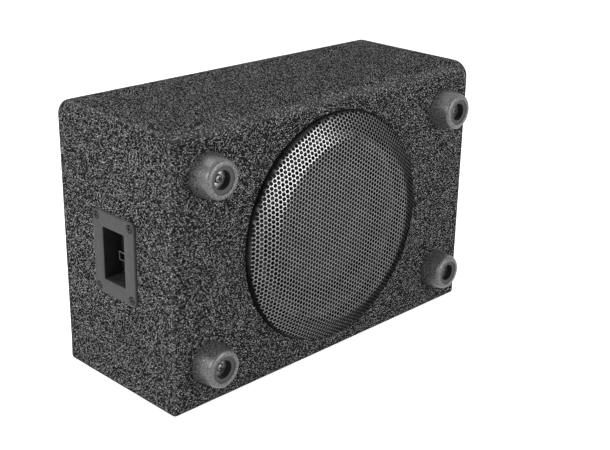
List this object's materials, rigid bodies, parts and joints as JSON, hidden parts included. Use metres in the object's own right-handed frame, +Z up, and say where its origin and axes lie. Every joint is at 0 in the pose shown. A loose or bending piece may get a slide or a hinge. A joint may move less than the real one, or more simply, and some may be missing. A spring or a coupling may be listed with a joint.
{
  "type": "powered car subwoofer",
  "caption": "Felt-covered box subwoofer with a driver behind a round perforated grille, rubber feet and a recessed connector cup with controls at one end.",
  "frame": {"origin": "middle of the long side that it stands on, on the floor", "axes": "+Z up, +X along the length away from the terminal cup, -Y the way the grille and feet face"},
  "size_m": [0.4436, 0.201, 0.29],
  "materials": {
    "felt": "charcoal needle felt with pale fibre flecks",
    "board": "raw fibreboard",
    "grille_steel": "satin black paint on perforated steel",
    "black_plastic": "moulded matte",
    "screw_steel": "blackened",
    "basket_steel": "black paint",
    "foam": "closed-cell foam",
    "surround_rubber": "smooth rubber",
    "cone": "pressed fibre",
    "former": "plain",
    "copper": "lacquered copper wire",
    "spider_cloth": "resin-stiffened cotton",
    "plated_steel": "zinc plated",
    "ferrite": "sintered",
    "contacts": "plated",
    "foot_rubber": "moulded rubber",
    "cup_plastic": "fine moulded grain",
    "control_plastic": "moulded",
    "slider_plastic": "moulded",
    "circuit_board": "green solder mask",
    "case_aluminium": "extruded",
    "capacitor_sleeve": "shrink sleeve",
    "transistor_plastic": "moulded",
    "lead_insulation": "soft insulation"
  },
  "bodies": {
    "root": {"felt_wrap": "felt", "felt_left_end": "felt", "felt_right_end": "felt", "front_baffle": "board", "back_panel": "board", "top_panel": "board", "bottom_panel": "board", "left_panel": "board", "right_panel": "board", "grille": "grille_steel", "grille_ring": "black_plastic", "surround_trim_ring": "black_plastic", "harness_socket": "black_plastic", "grille_ring_screws": "screw_steel", "driver_screws": "screw_steel", "cup_screws": "screw_steel", "driver_basket": "basket_steel", "driver_gasket": "foam", "cup_gasket": "foam", "surround": "surround_rubber", "output_inductors": "copper", "spider": "spider_cloth", "top_plate": "plated_steel", "pole_yoke": "plated_steel", "foot_washers": "plated_steel", "foot_screws": "plated_steel", "amplifier_case_screws": "plated_steel", "phase_switch_housing": "plated_steel", "magnet": "ferrite", "driver_terminals": "contacts", "socket_contacts": "contacts", "foot_upper_left": "foot_rubber", "foot_upper_right": "foot_rubber", "foot_lower_left": "foot_rubber", "foot_lower_right": "foot_rubber", "terminal_cup": "cup_plastic", "level_potentiometer": "control_plastic", "crossover_potentiometer": "control_plastic", "control_board": "circuit_board", "amplifier_board": "circuit_board", "amplifier_case": "case_aluminium", "amplifier_end_cap": "case_aluminium", "supply_capacitors": "capacitor_sleeve", "power_transistors": "transistor_plastic", "speaker_leads": "lead_insulation"},
    "diaphragm": {"cone": "cone", "dust_cap": "cone", "voice_coil_former": "former", "voice_coil": "copper"},
    "level_knob": {"level_knob": "black_plastic"},
    "crossover_knob": {"crossover_knob": "black_plastic"},
    "phase_switch": {"phase_switch_slider": "slider_plastic"}
  },
  "joints": [
    {"name": "cone_travel", "type": "slide", "parent": "root", "child": "diaphragm", "axis": [0, -1, 0], "range_m": [-0.006, 0.006], "stiffness_N_per_m": 2500, "deforming": ["surround", "spider"]},
    {"name": "level_turn", "type": "hinge", "parent": "root", "child": "level_knob", "pos_m": [-0.2005, 0.003, 0.166], "axis": [-1, 0, 0], "range_deg": [-140, 140]},
    {"name": "crossover_turn", "type": "hinge", "parent": "root", "child": "crossover_knob", "pos_m": [-0.2005, -0.009, 0.166], "axis": [-1, 0, 0], "range_deg": [-140, 140]},
    {"name": "phase_slide", "type": "slide", "parent": "root", "child": "phase_switch", "axis": [0, 0, 1], "range_m": [0, 0.004]}
  ]
}
